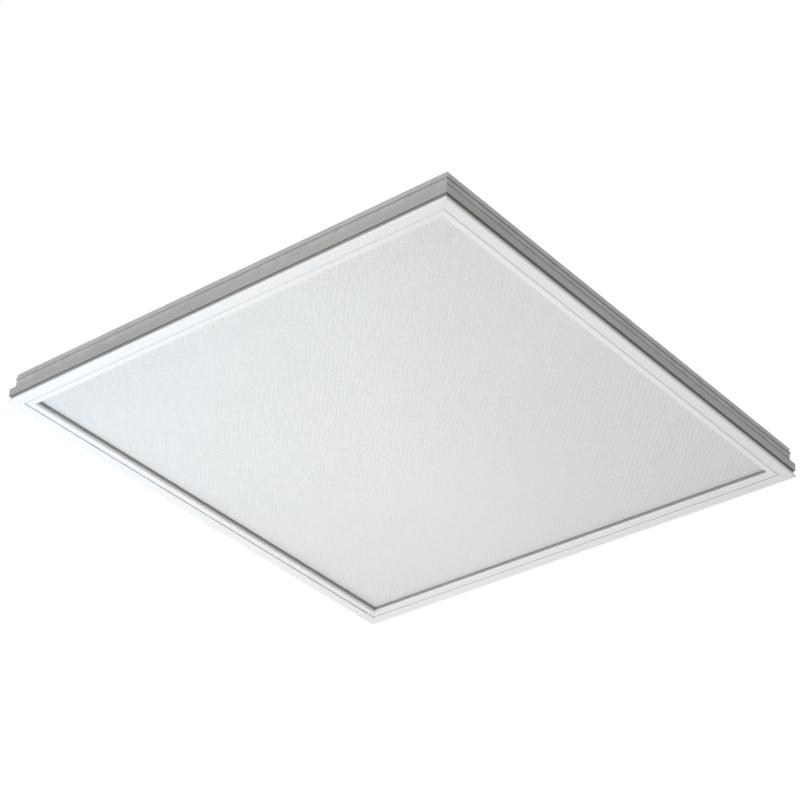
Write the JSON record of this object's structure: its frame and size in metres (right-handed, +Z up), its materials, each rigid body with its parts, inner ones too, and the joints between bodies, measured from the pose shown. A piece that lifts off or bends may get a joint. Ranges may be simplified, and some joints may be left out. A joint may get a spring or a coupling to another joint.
{
  "type": "recessed troffer light",
  "caption": "Square lay-in ceiling light with a white trim, a hinged prismatic lens door and a shallow metal housing that carries its driver box on top.",
  "frame": {"origin": "middle of the trim underside, which rests on the ceiling grid", "axes": "+Z up into the ceiling, X and Y along the sides, door hinge on the +Y side"},
  "size_m": [0.595, 0.595, 0.0724],
  "materials": {
    "galvanised_steel": "satin",
    "lip_metal": "satin",
    "trim_paint": "semi-gloss powder coat",
    "door_paint": "semi-gloss powder coat",
    "prismatic_acrylic": "prismatic, satin",
    "grey_foam": "matte foam",
    "reflector_white": "matte white",
    "spring_steel": "satin",
    "zinc_steel": "zinc plated",
    "fastener_steel": "zinc plated",
    "key_aluminium": "die cast",
    "board_white": "white solder mask on aluminium",
    "lamp_yellow": "phosphor",
    "optic_clear": "clear, glossy",
    "connector_white": "matte",
    "wire_red": "satin insulation",
    "wire_black": "satin insulation",
    "wire_grey": "satin insulation",
    "wire_green": "satin insulation",
    "driver_case_white": "matte",
    "block_grey": "matte",
    "lever_orange": "satin",
    "brass": "satin",
    "black_rubber": "matte"
  },
  "bodies": {
    "housing": {"board_connectors": "connector_white", "board_screws": "fastener_steel", "box_screws": "fastener_steel", "bracket_screws": "fastener_steel", "corner_key_screws": "fastener_steel", "cover_hinge_pins": "fastener_steel", "dome_rivets": "fastener_steel", "door_catches": "spring_steel", "driver_box": "galvanised_steel", "driver_screws": "fastener_steel", "earth_screw": "brass", "earth_wire": "wire_green", "hanger_tabs": "zinc_steel", "hinge_brackets": "zinc_steel", "housing_pan": "galvanised_steel", "inlet_bushing": "black_rubber", "knockout_blank": "zinc_steel", "led_board_1": "board_white", "led_board_2": "board_white", "led_board_3": "board_white", "led_board_4": "board_white", "led_board_5": "board_white", "led_board_6": "board_white", "led_driver": "driver_case_white", "led_optics": "optic_clear", "led_packages": "lamp_yellow", "led_wire_negative": "wire_black", "led_wire_positive": "wire_red", "lip_corner_keys": "key_aluminium", "lip_rail_back": "lip_metal", "lip_rail_front": "lip_metal", "lip_rail_left": "lip_metal", "lip_rail_right": "lip_metal", "pan_screws": "fastener_steel", "reflector_tray": "reflector_white", "supply_wires": "wire_grey", "terminal_block": "block_grey", "terminal_contacts": "brass", "trim_strip_back": "trim_paint", "trim_strip_front": "trim_paint", "trim_strip_left": "trim_paint", "trim_strip_right": "trim_paint", "wire_grommet": "black_rubber"},
    "lens_door": {"door_rail_back": "door_paint", "door_rail_front": "door_paint", "door_rail_left": "door_paint", "door_rail_right": "door_paint", "door_corner_keys": "key_aluminium", "lens": "prismatic_acrylic", "lens_gasket": "grey_foam", "lens_clips": "spring_steel", "hinge_pins": "fastener_steel"},
    "box_cover": {"driver_box_cover": "galvanised_steel"},
    "grid_clip_1": {"grid_clip_1": "spring_steel"},
    "grid_clip_2": {"grid_clip_2": "spring_steel"},
    "grid_clip_3": {"grid_clip_3": "spring_steel"},
    "grid_clip_4": {"grid_clip_4": "spring_steel"},
    "terminal_lever_live": {"terminal_lever_live": "lever_orange"},
    "terminal_lever_neutral": {"terminal_lever_neutral": "lever_orange"},
    "terminal_lever_earth": {"terminal_lever_earth": "lever_orange"}
  },
  "joints": [
    {"name": "lens_door_hinge", "type": "hinge", "parent": "housing", "child": "lens_door", "pos_m": [0, 0.2817, 0.0032], "axis": [1, 0, 0], "range_deg": [0, 90]},
    {"name": "box_cover_hinge", "type": "hinge", "parent": "housing", "child": "box_cover", "pos_m": [0, 0.0584, 0.0685], "axis": [-1, 0, 0], "range_deg": [0, 100]},
    {"name": "grid_clip_1_swing", "type": "hinge", "parent": "housing", "child": "grid_clip_1", "pos_m": [-0.2695, -0.19, 0.0375], "axis": [0, 0, 1], "range_deg": [0, 90]},
    {"name": "grid_clip_2_swing", "type": "hinge", "parent": "housing", "child": "grid_clip_2", "pos_m": [0.2695, -0.19, 0.0375], "axis": [0, 0, -1], "range_deg": [0, 90]},
    {"name": "grid_clip_3_swing", "type": "hinge", "parent": "housing", "child": "grid_clip_3", "pos_m": [0.2695, 0.19, 0.0375], "axis": [0, 0, 1], "range_deg": [0, 90]},
    {"name": "grid_clip_4_swing", "type": "hinge", "parent": "housing", "child": "grid_clip_4", "pos_m": [-0.2695, 0.19, 0.0375], "axis": [0, 0, -1], "range_deg": [0, 90]},
    {"name": "terminal_lever_live_tilt", "type": "hinge", "parent": "housing", "child": "terminal_lever_live", "pos_m": [-0.119, -0.011, 0.0529], "axis": [0, -1, 0], "range_deg": [0, 80]},
    {"name": "terminal_lever_neutral_tilt", "type": "hinge", "parent": "housing", "child": "terminal_lever_neutral", "pos_m": [-0.119, 0, 0.0529], "axis": [0, -1, 0], "range_deg": [0, 80]},
    {"name": "terminal_lever_earth_tilt", "type": "hinge", "parent": "housing", "child": "terminal_lever_earth", "pos_m": [-0.119, 0.011, 0.0529], "axis": [0, -1, 0], "range_deg": [0, 80]}
  ]
}
